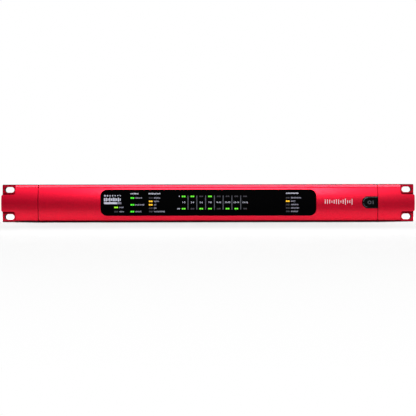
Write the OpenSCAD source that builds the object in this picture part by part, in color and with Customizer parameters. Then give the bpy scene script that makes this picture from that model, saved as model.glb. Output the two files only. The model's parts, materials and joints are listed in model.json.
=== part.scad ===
// Rack-mounted audio interface, one rack unit high, drawn in millimetres.
// Origin: centre of the four rack slots, on the plane that meets the rack rails.
// +X is the front viewer's right, +Y points to the rear, +Z is up.

/* [Front panel] */
// Width across both rack ears
panel_w = 482.6; // [482:0.1:483]
// Height of the front panel
panel_h = 44; // [43.6:0.1:44.4]
// How far the middle of the face stands in front of the rack plane
face_depth = 12; // [11.5:0.1:13]
// Radius of the face's vertical curve
barrel_r = 60; // [50:1:120]
// Length of the centre section between the two split lines
centre_w = 396.4; // [392:0.2:400]

/* [Rack fixing] */
// Distance between the left and right rack slots
slot_pitch_x = 465.1; // [464.6:0.1:465.6]
// Distance between the lower and upper rack slots
slot_pitch_z = 31.75; // [31.5:0.05:32]
// Length of a rack slot
slot_l = 11; // [10:0.5:12]
// Height of a rack slot
slot_h = 6.9; // [6.5:0.1:7.2]

/* [Display] */
// Width of the display window
window_w = 251; // [240:1:254]
// Height of the display window
window_h = 30; // [26:0.5:30]
// Height of the window's and the button's centreline above mid-height
front_z = 0.5; // [0:0.1:0.8]

/* [Power button] */
// Height of the power button
button_h = 13.5; // [11:0.5:14]
// How far the power button pushes in
button_travel = 3; // [2:0.1:3]

/* [Chassis] */
// Width of the chassis behind the ears
chassis_w = 440; // [436:1:441]
// Depth of the chassis behind the rack plane
chassis_d = 220; // [215:1:240]
// Thickness of the chassis sheet
sheet = 1.2; // [1:0.1:1.4]

/* [Hidden] */
$fn = 48;
gap = 0.3;
half_h = panel_h / 2;
half_chassis = chassis_w / 2;
flange_t = 2;
pocket_y = -4;
pocket_x = 225;
pocket_z = 10;
lip_r = 2.1;
crease_z = half_h - lip_r - 0.3;
crease_d = 0.5;
face_back = -7.4;
cavity_z = 16;
ear_x = centre_w / 2 + 0.3;
window_y = -9;
window_r = 6.25;
window_flange_t = 0.8;
mask_y = face_back + window_flange_t;
led_w = 4.9;
led_h = 2;
button_x = 189;
button_l = 18;
button_y = -12.4;
in_floor = sheet - half_h;
in_roof = half_h - sheet;
front_wall_y = -flange_t;
panel_t = 1.6;
rear_in = chassis_d - panel_t;
board_z = -14;
board_t = 1.6;
board_top = board_z + board_t;
side_in = half_chassis - sheet;
lip_t = 1.2;
lip_y0 = 104;
fan_x = -side_in;
fan_y = 80;
fan_size = 40;
fan_t = 20;
fan_shaft_r = 1.5;
fan_bore_r = 18.7;
fan_spoke_t = 2.5;
switch_y = 14;
inlet_x = [186, 132];
network_x = [84, 54];
clock_x = [30, 12];
multiway_x = [-34, -96];
spdif_x = [-142, -160];
connector_z = -1;
screw_hex_r = 1;

row_pitch = 3.99;
function row_z(n) = front_z + 5.55 - row_pitch * n;
status_leds = [for (z = [-5.5, -10.4]) [-107.5, front_z + z]];
network_leds = [for (n = [0, 2, 4]) [-88.5, row_z(n)]];
rate_leds = [for (n = [0:4]) [-67, row_z(n)]];
meter_leds = [for (z = [7.3, -7.1], n = [0:7]) [-28.5 + n * 10.27, front_z + z]];
power_leds = [for (n = [0:4]) [93.3, row_z(n)]];
leds = concat(status_leds, network_leds, rate_leds, meter_leds, power_leds);

side_screw_y = [115, 160, 205];
top_screw_x = [-180, 0, 180];
bracket_screw_at = [[14, -11], [14, 5], [40, -3]];
fascia_screw_x = [-180, -60, 60, 172];
fascia_screw_z = 18;
ear_wall_screw = [209, 11];
ear_flange_screw_x = 231;

main_x = [-190, 86];
main_y = [20, 212];
network_board_at = [4, 92];
network_board_size = [72, 86];
supply_size = [44, 134];
supply_y = 52;
supply_x = [166, 114];
supply_z = -14.6;

red = "#c8102e";
black = "#17171a";
steel = "#8a8d92";
board_green = "#1d5c3a";
grey = "#5a5d63";

// ---- helpers ----

// A block between two opposite corners
module block(lo, hi) translate(lo) cube(hi - lo);

// A 2D shape in X and Z, made solid from y0 back to y1
module slab(y0, y1) translate([0, y1, 0]) rotate([90, 0, 0]) linear_extrude(y1 - y0) children();

// A 2D shape in Y and Z, made solid from x0 to x1
module bar(x0, x1) translate([x0, 0, 0]) rotate([90, 0, 90]) linear_extrude(x1 - x0) children();

// A round rod along Y
module rod_y(x, z, y0, y1, r) translate([x, y0, z]) rotate([-90, 0, 0]) cylinder(h = y1 - y0, r = r);

// A round rod along X
module rod_x(y, z, x0, x1, r) translate([x0, y, z]) rotate([0, 90, 0]) cylinder(h = x1 - x0, r = r);

// A rectangle with round corners
module round_rect(w, h, r) {
    square([w - 2 * r, h], center = true);
    square([w, h - 2 * r], center = true);
    for (x = [-1, 1], z = [-1, 1]) translate([x * (w / 2 - r), z * (h / 2 - r)]) circle(r = r);
}

// A slot with full round ends, lying along its longer side
module slot_2d(w, h) round_rect(w, h, min(w, h) / 2 - 0.001);

// Both sides of the panel, or both ears: the child and its mirror image
module both_sides() {
    children();
    mirror([1, 0, 0]) children();
}

// A countersunk screw along +Z: flat head face at z = 0, shank below
module flat_screw(r, head_r, length) {
    head_h = head_r - r;
    difference() {
        union() {
            translate([0, 0, -head_h]) cylinder(h = head_h, r1 = r, r2 = head_r);
            translate([0, 0, -length]) cylinder(h = length - head_h, r = r);
        }
        translate([0, 0, -0.8]) cylinder(h = 1, r = screw_hex_r, $fn = 6);
    }
}

// The hole that a countersunk screw sits in
module flat_screw_hole(r, head_r, depth) {
    head_h = head_r - r;
    translate([0, 0, -head_h]) cylinder(h = head_h + 0.05, r1 = r + 0.05, r2 = head_r + 0.1);
    translate([0, 0, -depth]) cylinder(h = depth, r = r + 0.05);
}

// A raised-head screw along +Z: head above z = 0, shank below
module pan_screw(r, head_r, head_h, length) {
    difference() {
        cylinder(h = head_h, r = head_r);
        translate([0, 0, head_h - 0.7]) cylinder(h = 1, r = screw_hex_r, $fn = 6);
    }
    translate([0, 0, -length]) cylinder(h = length, r = r);
}

// ---- front panel ----

// Cross-section shared by the fascia and both ears: a convex face between two rounded lips
module front_section() {
    lip_y = barrel_r - face_depth - sqrt(barrel_r * barrel_r - crease_z * crease_z);
    difference() {
        union() {
            intersection() {
                translate([barrel_r - face_depth, 0]) circle(r = barrel_r, $fn = 240);
                translate([-face_depth - 1, -crease_z - 0.2]) square([face_depth + 1 - flange_t, 2 * crease_z + 0.4]);
            }
            for (s = [-1, 1]) {
                translate([lip_y + lip_r, s * (half_h - lip_r)]) circle(r = lip_r);
                translate([lip_y, s > 0 ? crease_z : -half_h + lip_r])
                    square([-flange_t - lip_y, half_h - lip_r - crease_z]);
                translate([lip_y + lip_r, s > 0 ? crease_z : -half_h])
                    square([-flange_t - lip_y - lip_r, half_h - crease_z]);
            }
        }
        for (s = [-1, 1])
            translate([lip_y, s * crease_z]) rotate(45) square(crease_d, center = true);
    }
}

// Outline of the power button, straight on its right-hand side, grown by g
module button_outline(g = 0) {
    r = button_h / 2 + g;
    translate([button_x - button_l / 2 + button_h / 2, front_z]) circle(r = r);
    translate([button_x - button_l / 2 + button_h / 2, front_z - r])
        square([button_l - button_h / 2 + g, 2 * r]);
}

module fascia_centre() color(red) difference() {
    bar(-centre_w / 2, centre_w / 2) front_section();
    block([-centre_w, face_back, -cavity_z], [centre_w, 0, cavity_z]);
    slab(-face_depth - 1, 0) translate([0, front_z]) round_rect(window_w + 0.4, window_h + 0.4, window_r + 0.2);
    slab(-face_depth - 1, 0) button_outline(gap);
    for (x = fascia_screw_x, z = [-1, 1]) rod_y(x, z * fascia_screw_z, -6.4, 0, 1.25);
}

// Raised part of an ear, seen from the front, with the two pockets left out
module ear_outline() {
    tip_r = 2;
    pocket_r = 3;
    difference() {
        translate([ear_x, -half_h]) square([panel_w / 2 - ear_x, panel_h]);
        for (s = [-1, 1]) scale([1, s]) {
            translate([pocket_x + pocket_r, pocket_z]) square([40, 40]);
            translate([pocket_x, pocket_z + pocket_r]) square([40, 40]);
            translate([pocket_x + pocket_r, pocket_z + pocket_r]) circle(r = pocket_r);
            difference() {
                translate([panel_w / 2 - tip_r, pocket_z - tip_r]) square([10, tip_r + 1]);
                translate([panel_w / 2 - tip_r, pocket_z - tip_r]) circle(r = tip_r);
            }
        }
    }
}

// Flat outline of a flange, from x0 out to the panel's edge, with its outer corners rounded
module flange_outline(x0) {
    r = 1.2;
    translate([x0, -half_h]) square([panel_w / 2 - r - x0, panel_h]);
    translate([x0, -half_h + r]) square([panel_w / 2 - x0, panel_h - 2 * r]);
    for (s = [-1, 1]) translate([panel_w / 2 - r, s * (half_h - r)]) circle(r = r);
}

// The two rack slots on one side
module rack_slots_2d() for (s = [-1, 1])
    translate([slot_pitch_x / 2, s * slot_pitch_z / 2]) slot_2d(slot_l, slot_h);

module ear() difference() {
    union() {
        intersection() {
            bar(ear_x, panel_w / 2) front_section();
            slab(-face_depth - 1, 0) ear_outline();
        }
        slab(pocket_y, -flange_t) flange_outline(pocket_x - 1);
    }
    slab(-face_depth - 1, 0) rack_slots_2d();
    rod_y(ear_flange_screw_x, 0, -8, 0, 1.45);
    for (s = [-1, 1]) rod_y(ear_wall_screw[0], s * ear_wall_screw[1], -7, 0, 1.25);
}

module ear_right() color(red) ear();
module ear_left() color(red) mirror([1, 0, 0]) ear();

module rack_flange() difference() {
    union() {
        slab(-flange_t, 0) flange_outline(half_chassis);
        block([half_chassis, -flange_t, -20], [half_chassis + flange_t, 50, 20]);
    }
    slab(-flange_t - 1, 1) rack_slots_2d();
    translate([ear_flange_screw_x, 0, 0]) rotate([-90, 0, 0]) flat_screw_hole(1.4, 2.8, 4);
    for (p = bracket_screw_at)
        translate([half_chassis + flange_t, p[0], p[1]]) rotate([0, 90, 0]) flat_screw_hole(1.5, 3, 6);
}

module rack_flange_right() color(black) rack_flange();
module rack_flange_left() color(black) mirror([1, 0, 0]) rack_flange();

module display_window() color("#0b0b0f") {
    translate([0, 0, front_z]) {
        slab(window_y, mask_y) round_rect(window_w, window_h, window_r);
        slab(face_back, mask_y) round_rect(window_w + 5, window_h - 1, 3);
    }
}

module light_mask() color(black) difference() {
    slab(mask_y, mask_y + 2.2) translate([0, front_z]) round_rect(window_w + 5, window_h, 1);
    slab(mask_y - 1, 0) for (p = leds) translate(p) square([led_w, led_h], center = true);
}

module front_board() color(board_green)
    slab(mask_y + 2.2, mask_y + 3.8) translate([0, front_z]) round_rect(window_w + 9, window_h, 1);

module led_array() color("#e8f0c0")
    slab(mask_y + 1.1, mask_y + 2.2) for (p = leds) translate(p) square([3.2, 1.6], center = true);

// ---- power button ----

module power_button() color(black) {
    slab(button_y, face_back + 0.6) button_outline();
    slab(face_back + gap, face_back + 1.4)
        translate([button_x + 0.5, front_z]) round_rect(button_l - 2, button_h + 4, 3);
}

module push_rod() color(grey) rod_y(button_x, front_z, face_back + 1.4, switch_y + 4, 1.8);

module power_switch() color("#202226") difference() {
    union() {
        block([button_x - 7, switch_y, front_z - 6.5], [button_x + 7, switch_y + 20, front_z + 6.5]);
        for (x = [-4, 4], z = [-3, 3])
            block([button_x + x - 1, switch_y + 20, front_z + z - 0.4],
                  [button_x + x + 1, switch_y + 26, front_z + z + 0.4]);
    }
    rod_y(button_x, front_z, switch_y - 1, switch_y + 4 + button_travel + 1, 2.2);
}

module switch_bracket() color(steel) difference() {
    union() {
        block([button_x - 10, switch_y - 1.2, in_floor], [button_x + 10, switch_y, front_z + 9]);
        block([button_x - 10, switch_y - 1.2, in_floor], [button_x + 10, switch_y + 14, in_floor + 1.2]);
    }
    rod_y(button_x, front_z, switch_y - 3, switch_y + 1, 3.2);
}

// ---- casing ----

// A row of upright vent slots cut through a side wall, one side only
module side_vents(y0, y1, h) {
    pitch = 7;
    for (y = [y0 : pitch : y1])
        bar(half_chassis - sheet - 1, half_chassis + 1) translate([y, -1]) slot_2d(3, h);
}

// Round air inlet in front of the fan: slots whose lengths follow a circle
module fan_vents() {
    r = 17;
    for (k = [-3:3]) {
        d = k * 5;
        bar(-half_chassis - 1, -half_chassis + sheet + 1)
            translate([fan_y + d, 0]) slot_2d(3, 2 * sqrt(r * r - d * d));
    }
}

module chassis_base() color(black) difference() {
    union() {
        block([-half_chassis, front_wall_y, -half_h], [half_chassis, chassis_d, in_floor]);
        both_sides() block([side_in, front_wall_y, -half_h], [half_chassis, chassis_d, in_roof]);
        block([-half_chassis, front_wall_y, -half_h], [half_chassis, front_wall_y + sheet, in_roof]);
        block([-side_in, front_wall_y, in_roof - sheet], [side_in, 12, in_roof]);
    }
    side_vents(64, 200, 22);
    mirror([1, 0, 0]) side_vents(113, 200, 22);
    fan_vents();
    slab(-3, 0) translate([-40, 0.5]) square([46, 13], center = true);
    rod_y(button_x, front_z, -3, 0, 3);
    for (x = top_screw_x) translate([x, 6, in_roof + 0.1]) cylinder(h = 8, r = 1.3, center = true);
    for (x = fascia_screw_x, z = [-1, 1]) rod_y(x, z * fascia_screw_z, -3, 0, 1.3);
    both_sides() {
        for (s = [-1, 1]) rod_y(ear_wall_screw[0], s * ear_wall_screw[1], -3, 0, 1.3);
        for (p = bracket_screw_at) rod_x(p[0], p[1], side_in - 1, half_chassis + 1, 1.55);
        for (y = side_screw_y) rod_x(y, 15, side_in - 1, half_chassis + 1, 1.3);
    }
    for (x = top_screw_x) translate([x, rear_in - 6, -half_h]) mirror([0, 0, 1]) flat_screw_hole(1.25, 2.5, 3);
}

module top_cover() color(black) difference() {
    union() {
        block([-half_chassis, front_wall_y, in_roof], [half_chassis, chassis_d, half_h]);
        both_sides() block([side_in - gap - lip_t, lip_y0, 9], [side_in - gap, rear_in - 10, in_roof + 0.1]);
    }
    for (x = top_screw_x, y = [6, rear_in - 6])
        translate([x, y, half_h]) flat_screw_hole(1.25, 2.5, 3);
    both_sides() for (y = side_screw_y) rod_x(y, 15, side_in - 4, side_in + 1, 1.3);
}

// Outline of a multi-pin connector's shell: wider at the top
module d_outline(w, h, slope) polygon([
    [-w / 2 + slope, -h / 2], [w / 2 - slope, -h / 2], [w / 2, h / 2], [-w / 2, h / 2]
]);

module rear_panel() color(black) {
    lip_l = 12;
    difference() {
        union() {
            block([-side_in + 0.2, rear_in, in_floor], [side_in - 0.2, chassis_d, in_roof]);
            block([-side_in + 3, rear_in - lip_l, in_floor], [side_in - 3, rear_in, in_floor + 1]);
            block([-side_in + 3, rear_in - lip_l, in_roof - 1], [side_in - 3, rear_in, in_roof]);
        }
        slab(rear_in - 20, chassis_d + 1) {
            for (x = inlet_x) {
                translate([x, 0]) square([28, 21], center = true);
                for (s = [-20, 20]) translate([x + s, 0]) circle(r = 1.7);
            }
            for (x = network_x) {
                translate([x, 0]) circle(r = 12.1);
                translate([x - 6.4, 0]) square([12.8, 15]);
                for (s = [-1, 1]) translate([x + s * 9.5, s * 12]) circle(r = 1.6);
            }
            for (x = clock_x) translate([x, connector_z]) circle(r = 6.4);
            for (x = multiway_x) {
                translate([x, connector_z]) square([42, 9.4], center = true);
                for (s = [-23.5, 23.5]) translate([x + s, connector_z]) circle(r = 1.6);
            }
            for (x = spdif_x) translate([x, connector_z]) circle(r = 4.4);
        }
        for (x = top_screw_x, z = [-1, 1])
            translate([x, rear_in - 6, z * in_roof]) cylinder(h = 4, r = 1.3, center = true);
    }
}

// ---- circuit boards ----

module main_board() color(board_green) difference() {
    block([main_x[0], main_y[0], board_z], [main_x[1], main_y[1], board_top]);
    for (p = main_holes) translate([p[0], p[1], board_z - 1]) cylinder(h = 4, r = 1.6);
}

main_holes = [for (x = [-182, -64, 36, 80], y = [28, 190]) [x, y]];
supply_holes = [for (x = supply_x, dx = [-18, 18], dy = [5, supply_size[1] - 5]) [x + dx, supply_y + dy]];

module board_standoffs() color(steel) {
    for (p = main_holes) translate([p[0], p[1], in_floor])
        tube(board_z - in_floor, 2.8, 1.3);
    for (p = supply_holes) translate([p[0], p[1], in_floor])
        tube(supply_z - in_floor, 2.8, 1.3);
}

// An upright tube
module tube(h, r_out, r_in) difference() {
    cylinder(h = h, r = r_out, $fn = 6);
    translate([0, 0, -1]) cylinder(h = h + 2, r = r_in);
}

module board_screws() color(steel) {
    for (p = main_holes) translate([p[0], p[1], board_top]) pan_screw(1.25, 2.6, 1.8, 5);
    for (p = supply_holes) translate([p[0], p[1], supply_z + board_t]) pan_screw(1.25, 2.6, 1.8, 5);
}

module network_board() color(board_green) {
    x = network_board_at[0];
    y = network_board_at[1];
    w = network_board_size[0];
    d = network_board_size[1];
    block([x, y, board_top + 6], [x + w, y + d, board_top + 7.2]);
    for (dx = [4, w - 10]) block([x + dx, y + 12, board_top], [x + dx + 6, y + d - 12, board_top + 6]);
}

chip_centre = network_board_at + network_board_size / 2;
chip_z = board_top + 7.2;

module network_processor() color(black)
    translate([0, 0, chip_z]) linear_extrude(2) translate(chip_centre) square(27, center = true);

module processor_heatsink() color(black) {
    fins = 9;
    side = 34;
    base_z = chip_z + 2;
    translate([chip_centre[0] - side / 2, chip_centre[1] - side / 2, base_z]) {
        cube([side, side, 2]);
        for (k = [0 : fins - 1]) translate([k * (side - 1.4) / (fins - 1), 0, 2]) cube([1.4, side, 9]);
    }
}

// Low packages: [x, y, width, depth, height]
chips = [
    [-20, 60, 22, 22, 1.6], [-62, 60, 14, 14, 1.4], [-62, 92, 14, 14, 1.4], [-100, 60, 10, 6, 1.6],
    [-100, 76, 10, 6, 1.6], [-130, 60, 14, 20, 1.6], [58, 60, 16, 16, 1.6], [-20, 100, 14, 14, 1.4]
];

module logic_chips() color(black) for (c = chips)
    translate([c[0], c[1], board_top]) linear_extrude(c[4]) square([c[2], c[3]], center = true);

module signal_transformers() color("#2b2b30") for (x = multiway_x, k = [0:3], row = [0:1])
    translate([x - 24 + k * 13, 168 + row * 13, board_top]) cube([9, 9.5, 7]);

module board_capacitors() color("#303a4c") {
    for (k = [0:5]) translate([-175 + k * 12, 120, board_top]) cylinder(h = 11, r = 4);
    for (k = [0:3]) translate([-175 + k * 9, 140, board_top]) cylinder(h = 7, r = 3);
    for (k = [0:2]) translate([-14 + k * 11, 34, board_top]) cylinder(h = 13, r = 4);
}

// ---- power supplies, one function per part ----

// Moves its children to a supply's near left corner, on top of its board
module on_supply(i) translate([supply_x[i] - supply_size[0] / 2, supply_y, supply_z + board_t]) children();

module supply_board(i) color(board_green) difference() {
    on_supply(i) translate([0, 0, -board_t]) cube([supply_size[0], supply_size[1], board_t]);
    for (p = supply_holes) translate([p[0], p[1], supply_z - 1]) cylinder(h = 4, r = 1.6);
}

module supply_transformer(i) color("#c9a13b") on_supply(i) translate([9, 56, 0]) {
    cube([26, 6, 20]);
    translate([3, 6, 2]) cube([20, 14, 16]);
    translate([0, 20, 0]) cube([26, 6, 20]);
}

module supply_heatsink(i) color("#9aa0a6") on_supply(i) translate([3, 14, 0]) {
    cube([2, 88, 24]);
    for (k = [0:10]) translate([2, 3 + k * 8, 2]) cube([3, 1.4, 22]);
}

module supply_capacitors(i) color("#26282c") on_supply(i) {
    translate([24, 28, 0]) cylinder(h = 26, r = 9);
    for (k = [0:1]) translate([18 + k * 13, 96, 0]) cylinder(h = 20, r = 5);
    for (k = [0:1]) translate([18 + k * 13, 112, 0]) cylinder(h = 16, r = 4);
}

module supply_a_board() supply_board(0);
module supply_b_board() supply_board(1);
module supply_a_transformer() supply_transformer(0);
module supply_b_transformer() supply_transformer(1);
module supply_a_heatsink() supply_heatsink(0);
module supply_b_heatsink() supply_heatsink(1);
module supply_a_capacitors() supply_capacitors(0);
module supply_b_capacitors() supply_capacitors(1);

module supply_insulator() color("#d8d4c0") difference() {
    block([supply_x[1] - 24, supply_y - 4, in_floor], [supply_x[0] + 24, supply_y + supply_size[1] + 4, in_floor + 0.4]);
    for (p = supply_holes) translate([p[0], p[1], in_floor - 1]) cylinder(h = 3, r = 3.4);
}

// ---- fan ----

module fan_frame() color(black) difference() {
    block([fan_x, fan_y - fan_size / 2, -fan_size / 2], [fan_x + fan_t, fan_y + fan_size / 2, fan_size / 2]);
    rod_x(fan_y, 0, fan_x - 1, fan_x + fan_t - fan_spoke_t, fan_bore_r);
    translate([fan_x + fan_t - fan_spoke_t - 1, fan_y, 0]) rotate([90, 0, 90])
        linear_extrude(fan_spoke_t + 2) fan_gaps_2d();
    rod_x(fan_y, 0, fan_x - 1, fan_x + fan_t + 1, fan_shaft_r + 0.03);
    for (y = [-1, 1], z = [-1, 1]) rod_x(fan_y + y * 16, z * 16, fan_x - 1, fan_x + fan_t + 1, 1.6);
}
// The four air gaps between the spokes that carry the fan's hub
module fan_gaps_2d() difference() {
    circle(r = fan_bore_r - 0.5);
    circle(r = 8);
    for (a = [-45, 45]) rotate(a) square([fan_size * 1.2, 2], center = true);
}
module fan_rotor() color("#2a2c30") {
    blades = 7;
    rod_x(fan_y, 0, fan_x + 1.5, fan_x + 16.5, 10.5);
    rod_x(fan_y, 0, fan_x + 16.5, fan_x + fan_t - 0.5, fan_shaft_r);
    for (k = [0 : blades - 1]) translate([fan_x + 9, fan_y, 0]) rotate([k * 360 / blades, 0, 0])
        translate([0, 0, 13.3]) rotate([0, 0, 38]) cube([1.3, 13, 7.4], center = true);
}

module fan_screws() color(steel) at_fan_corners() {
    pan_screw(1.5, 2.6, 1.6, 1);
    translate([0, 0, -19]) cylinder(h = 19, r = 1.5);
}

// The fan's four corner holes, screwed from the inner face outwards
module at_fan_corners() for (y = [-1, 1], z = [-1, 1])
    translate([fan_x + fan_t, fan_y + y * 16, z * 16]) rotate([0, 90, 0]) children();

// ---- rear connectors; each is drawn about its own axis with the panel's outer face at y = 0 ----

module at_rear(x, z = 0) translate([x, chassis_d, z]) children();

// Mouth of a mains inlet, with two cut corners
module inlet_mouth(w, h) polygon([
    [-w / 2, -h / 2], [w / 2, -h / 2], [w / 2, h / 2 - 4], [w / 2 - 4, h / 2], [-w / 2 + 4, h / 2], [-w / 2, h / 2 - 4]
]);

pin_at = [[-7, -2], [7, -2], [0, 2]];

module inlet_pin_2d() for (p = pin_at) translate(p) square([2, 4], center = true);

module mains_inlet() difference() {
    union() {
        slab(0, 3) difference() {
            round_rect(50, 22.5, 5);
            for (s = [-20, 20]) translate([s, 0]) circle(r = 1.7);
        }
        slab(-17, 0) square([27, 20], center = true);
    }
    slab(-14, 4) inlet_mouth(24.4, 16.8);
    slab(-18, -13) inlet_pin_2d();
}

module mains_inlet_a() color(black) at_rear(inlet_x[0]) mains_inlet();
module mains_inlet_b() color(black) at_rear(inlet_x[1]) mains_inlet();
module mains_pins() color("#c8c8c8") for (x = inlet_x) at_rear(x) slab(-24, -1) inlet_pin_2d();

module network_socket() difference() {
    union() {
        slab(0, 2.2) round_rect(26, 31, 2.5);
        rod_y(0, 0, -20, 0, 11.8);
        block([-6, -9, 8], [6, 0, 14.8]);
    }
    rod_y(0, 0, -9, 3, 9.8);
    block([-5.9, -19, -3.6], [5.9, -8, 3.6]);
    block([-4.7, -8, 6], [4.7, 3, 13.4]);
    for (s = [-1, 1]) rod_y(s * 9.5, s * 12, -1, 3, 1.6);
}

module network_socket_a() color(black) at_rear(network_x[0]) network_socket();
module network_socket_b() color(black) at_rear(network_x[1]) network_socket();

module socket_latch() block([-4.3, -7, 10.2], [4.3, 3.6, 13]);

module socket_latch_a() color(grey) at_rear(network_x[0]) socket_latch();
module socket_latch_b() color(grey) at_rear(network_x[1]) socket_latch();

module word_clock_socket() difference() {
    union() {
        rod_y(0, 0, -10, 0, 6.2);
        rod_y(0, 0, 0, 2, 8);
        rod_y(0, 0, 2, 11.5, 4.8);
        rod_x(8.6, 0, -5.6, 5.6, 1);
        block([-7, -16, board_top - connector_z], [7, -5, 7]);
    }
    difference() {
        rod_y(0, 0, 3, 12, 4.05);
        rod_y(0, 0, 2, 9.5, 2.4);
    }
    rod_y(0, 0, 5, 12, 0.6);
}

module word_clock_in() color("#b9bcc0") at_rear(clock_x[0], connector_z) word_clock_socket();
module word_clock_out() color("#b9bcc0") at_rear(clock_x[1], connector_z) word_clock_socket();

module multiway_socket() {
    difference() {
        union() {
            slab(0, 0.8) round_rect(53, 12.5, 1.5);
            slab(0, 6) d_outline(39, 8.4, 1.2);
            slab(-panel_t, 0) square([41, 8.6], center = true);
        }
        slab(-2, 7) for (s = [-23.5, 23.5]) translate([s, 0]) circle(r = 1.6);
        slab(5.6, 7) d_outline(37.4, 6.8, 1);
    }
    block([-20.5, -14, board_top - connector_z], [20.5, -panel_t, 5]);
}

module multiway_socket_a() color("#b9bcc0") at_rear(multiway_x[0], connector_z) multiway_socket();
module multiway_socket_b() color("#b9bcc0") at_rear(multiway_x[1], connector_z) multiway_socket();

module jackscrews() color("#c9ccd0") for (x = multiway_x, s = [-23.5, 23.5])
    at_rear(x + s, connector_z) rotate([-90, 0, 0]) {
        difference() {
            translate([0, 0, 0.8]) cylinder(h = 5.2, r = 2.7, $fn = 6);
            translate([0, 0, 2]) cylinder(h = 5, r = 1.2);
        }
        translate([0, 0, -8]) cylinder(h = 8.8, r = 1.4);
    }

module spdif_socket() difference() {
    union() {
        rod_y(0, 0, -8, 0, 4.2);
        rod_y(0, 0, 0, 1.4, 6.5);
        rod_y(0, 0, 1.4, 10, 4.1);
        block([-5, -14, board_top - connector_z], [5, -4, 5]);
    }
    rod_y(0, 0, 1, 11, 1.65);
}

module spdif_in() color("#d9b25a") at_rear(spdif_x[0], connector_z) spdif_socket();
module spdif_out() color("#d9b25a") at_rear(spdif_x[1], connector_z) spdif_socket();

// ---- internal wiring ----

ribbon_x = [-57, -23];
ribbon_z = 0.5;
ribbon_drop_y = 29;

// A flat ribbon, seen from the side: back from the front board, round one bend, down to the main board
module ribbon_cable() color("#8f949c") bar(ribbon_x[0], ribbon_x[1]) {
    t = 0.9;
    bend = 4;
    header_top = board_top + 8;
    translate([5, ribbon_z - t / 2]) square([ribbon_drop_y - bend - 5, t]);
    translate([ribbon_drop_y - bend, ribbon_z - t / 2 - bend + t]) intersection() {
        difference() {
            circle(r = bend);
            circle(r = bend - t);
        }
        square(bend + 1);
    }
    translate([ribbon_drop_y - t, header_top]) square([t, ribbon_z - t / 2 - bend + t - header_top]);
}

module ribbon_headers() color(black) {
    block([ribbon_x[0] - 4, mask_y + 3.8, ribbon_z - 4], [ribbon_x[1] + 4, 5, ribbon_z + 4]);
    block([ribbon_x[0] - 4, ribbon_drop_y - 4.5, board_top], [ribbon_x[1] + 4, ribbon_drop_y + 3.5, board_top + 8]);
}

// A wire along straight runs between points, each run square-ended past its corners
module wire(points, r) for (k = [0 : len(points) - 2]) {
    run = points[k + 1] - points[k];
    l = norm(run);
    past = k < len(points) - 2 ? 0.9 * r : 0;
    translate(points[k]) rotate([0, acos(run[2] / l), atan2(run[1], run[0])])
        cylinder(h = l + past, r = r, $fn = 8);
}

// Low-voltage leads, from each supply over to the main board
module dc_leads() color("#a83232") for (i = [0, 1], k = [0, 1]) {
    x = supply_x[i] - supply_size[0] / 2 + 10;
    y = supply_y + 120 - k * 4 - i * 10;
    z = 12 - i * 6;
    wire([[x, y, supply_z + board_t], [x, y, z], [81, y, z], [81, y, board_top]], 1);
}

// Mains leads: one pair from each inlet to its supply, and one pair from each supply to the switch
module mains_leads() color("#6b4a2f") for (i = [0, 1]) {
    on_board = supply_z + board_t;
    pin_y = chassis_d - 24;
    land_x = supply_x[i] + 5;
    wire([[inlet_x[i] - 7, pin_y, -2], [inlet_x[i] - 7, 176, -2], [inlet_x[i] - 7, 176, on_board]], 1);
    wire([
        [inlet_x[i] + 7, pin_y, -2], [inlet_x[i] + 7, 190, -2], [inlet_x[i] + 7, 190, 4],
        [land_x, 190, 4], [land_x, 176, 4], [land_x, 176, on_board]
    ], 1);
    for (k = [0, 1]) {
        x = supply_x[i] + 10 + k * 4;
        tab_x = button_x + 4 - i * 8;
        z = front_z - 3 + k * 6;
        cross_y = 50 - i * 4;
        wire([[x, 60, on_board], [x, 60, z], [x, cross_y, z], [tab_x, cross_y, z], [tab_x, switch_y + 26, z]], 1);
    }
}

module earth_stud() color("#c9b458") translate([206, 200, in_floor]) {
    cylinder(h = 1.6, r = 4, $fn = 6);
    cylinder(h = 10, r = 2);
    translate([0, 0, 4]) cylinder(h = 3, r = 3.8, $fn = 6);
}

// ---- fasteners ----

module cover_screws() color(black) {
    for (x = top_screw_x, y = [6, rear_in - 6]) translate([x, y, half_h]) flat_screw(1.25, 2.5, 5);
    for (x = top_screw_x) translate([x, rear_in - 6, -half_h]) mirror([0, 0, 1]) flat_screw(1.25, 2.5, 5);
    both_sides() for (y = side_screw_y)
        translate([half_chassis, y, 15]) rotate([0, 90, 0]) pan_screw(1.25, 2.4, 1.5, 5);
}

module bracket_screws() color(steel) both_sides() {
    for (p = bracket_screw_at)
        translate([half_chassis + flange_t, p[0], p[1]]) rotate([0, 90, 0]) flat_screw(1.5, 3, 6);
    translate([ear_flange_screw_x, 0, 0]) rotate([-90, 0, 0]) flat_screw(1.4, 2.8, 7);
}

module front_wall_screws() color(steel) {
    for (x = fascia_screw_x, z = [-1, 1])
        translate([x, front_wall_y + sheet, z * fascia_screw_z]) rotate([-90, 0, 0]) pan_screw(1.2, 1.55, 1.4, 5);
    both_sides() for (s = [-1, 1])
        translate([ear_wall_screw[0], front_wall_y + sheet, s * ear_wall_screw[1]])
            rotate([-90, 0, 0]) pan_screw(1.2, 2.2, 1.6, 5.6);
}

module connector_screws() color(steel) {
    for (x = inlet_x, s = [-20, 20]) at_rear(x + s) translate([0, 3, 0]) rotate([-90, 0, 0])
        pan_screw(1.5, 2.9, 1.8, 8);
    for (x = network_x, s = [-1, 1]) at_rear(x + s * 9.5, s * 12) translate([0, 2.2, 0]) rotate([-90, 0, 0])
        pan_screw(1.4, 2.6, 1.6, 7);
}

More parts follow.
